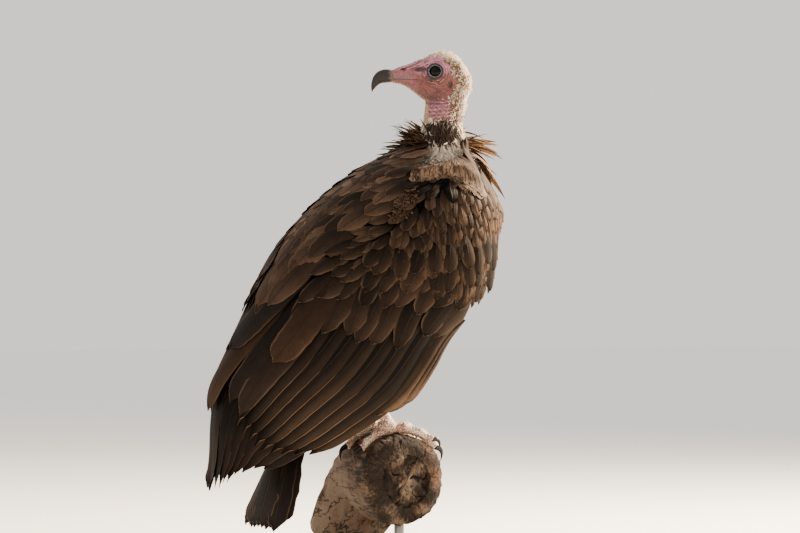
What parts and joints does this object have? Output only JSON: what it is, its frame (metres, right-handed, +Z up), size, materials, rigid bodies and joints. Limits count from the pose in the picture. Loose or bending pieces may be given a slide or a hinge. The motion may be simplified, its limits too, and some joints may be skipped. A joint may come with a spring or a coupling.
{
  "type": "hooded vulture",
  "caption": "Still, life-size hooded vulture looking back over its shoulder, gripping a short cut limb held by rods over a round display base.",
  "frame": {"origin": "centre of the display base's underside, on the surface it stands on", "axes": "+Z up, the bird's breast faces -Y and its right side is -X; the bill points back over the left shoulder"},
  "size_m": [0.3029, 0.3943, 0.6458],
  "materials": {
    "coat": "matt dark brown body and wing feathers with paler fringes",
    "flight_feathers": "smooth blackish brown flight and tail feathers with a faint sheen",
    "down": "short curly cream down of crown, nape and neck root",
    "bare_skin": "wrinkled pink and mauve bare skin of face, cere and neck",
    "bill_horn": "polished grey-black horn of the hooked bill",
    "eye": "wet, near-black brown eye",
    "leg_scales": "pale pinkish grey scaly legs and toes",
    "claws": "dark worn horn",
    "limb": "weathered grey-brown limb with cracked bark",
    "stand": "satin black painted plate",
    "rods": "brushed steel rod"
  },
  "bodies": {
    "root": {"trunk": "coat", "neck_root": "down", "neck": "bare_skin", "head": "bare_skin", "eye_left": "eye", "eye_right": "eye", "cere": "bare_skin", "bill_hook": "bill_horn", "mandible": "bare_skin", "ruff": "coat", "mantle": "coat", "tail": "flight_feathers", "perch": "limb", "stand_base": "stand", "stand_rod_right": "rods", "stand_rod_left": "rods", "scapulars_right": "coat", "coverts_right": "coat", "tertials_right": "flight_feathers", "secondaries_right": "flight_feathers", "primaries_right": "flight_feathers", "thigh_right": "coat", "foot_right": "leg_scales", "claw_inner_right": "claws", "claw_middle_right": "claws", "claw_outer_right": "claws", "claw_hind_right": "claws", "scapulars_left": "coat", "coverts_left": "coat", "tertials_left": "flight_feathers", "secondaries_left": "flight_feathers", "primaries_left": "flight_feathers", "thigh_left": "coat", "foot_left": "leg_scales", "claw_inner_left": "claws", "claw_middle_left": "claws", "claw_outer_left": "claws", "claw_hind_left": "claws"}
  },
  "joints": []
}
